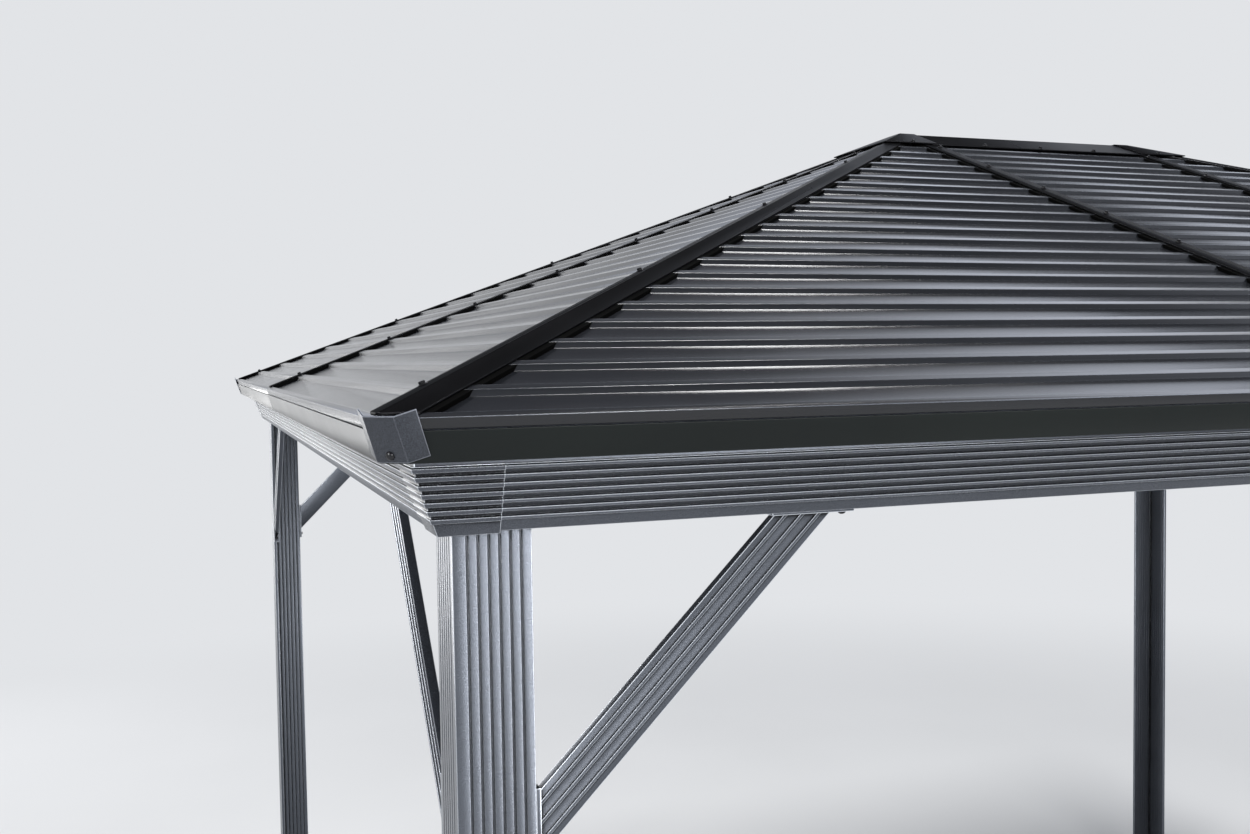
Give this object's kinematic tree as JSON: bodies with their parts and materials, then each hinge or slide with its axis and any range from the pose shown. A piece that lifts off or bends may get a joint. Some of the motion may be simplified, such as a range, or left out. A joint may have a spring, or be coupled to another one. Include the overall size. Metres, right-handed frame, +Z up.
{
  "type": "metal gazebo with a hipped roof",
  "caption": "Open metal gazebo: fluted angle posts, braced beams and a hipped roof of corrugated sheets with ridge, hip and seam covers.",
  "frame": {"origin": "on the ground, under the middle of the roof", "axes": "+X along the long sides towards the right end, +Y from the front to the back, +Z up; the corner nearest the camera in the picture is at -X, -Y"},
  "size_m": [3.687, 3.057, 2.6888],
  "materials": {
    "frame": "satin charcoal powder coat with a fine hammered speckle",
    "fascia": "smooth satin near-black coat",
    "cap": "satin grey-blue powder coat with a fine speckle",
    "trim": "smooth satin black coat",
    "roof": "smooth satin charcoal coat on steel sheet",
    "rafter": "satin charcoal powder coat"
  },
  "bodies": {
    "root": {"back_beam": "frame", "back_braces": "frame", "back_fascia": "fascia", "corner_cap_back_left": "cap", "corner_cap_back_right": "cap", "corner_cap_front_left": "cap", "corner_cap_front_right": "cap", "corner_sleeves": "frame", "foot_plates": "frame", "front_beam": "frame", "front_braces": "frame", "front_fascia": "fascia", "hip_cover_back_left": "trim", "hip_cover_back_right": "trim", "hip_cover_front_left": "trim", "hip_cover_front_right": "trim", "hip_rafters": "rafter", "left_beam": "frame", "left_braces": "frame", "left_fascia": "fascia", "post_back_left": "frame", "post_back_right": "frame", "post_front_left": "frame", "post_front_right": "frame", "ridge_beam": "rafter", "ridge_cap": "trim", "ridge_connectors": "rafter", "ridge_end_left": "trim", "ridge_end_right": "trim", "right_beam": "frame", "right_braces": "frame", "right_fascia": "fascia", "roof_sheet_back_left": "roof", "roof_sheet_back_middle": "roof", "roof_sheet_back_right": "roof", "roof_sheet_front_left": "roof", "roof_sheet_front_middle": "roof", "roof_sheet_front_right": "roof", "roof_sheet_left_back": "roof", "roof_sheet_left_front": "roof", "roof_sheet_right_back": "roof", "roof_sheet_right_front": "roof", "seam_covers": "trim", "seam_rafters": "rafter"}
  },
  "joints": []
}
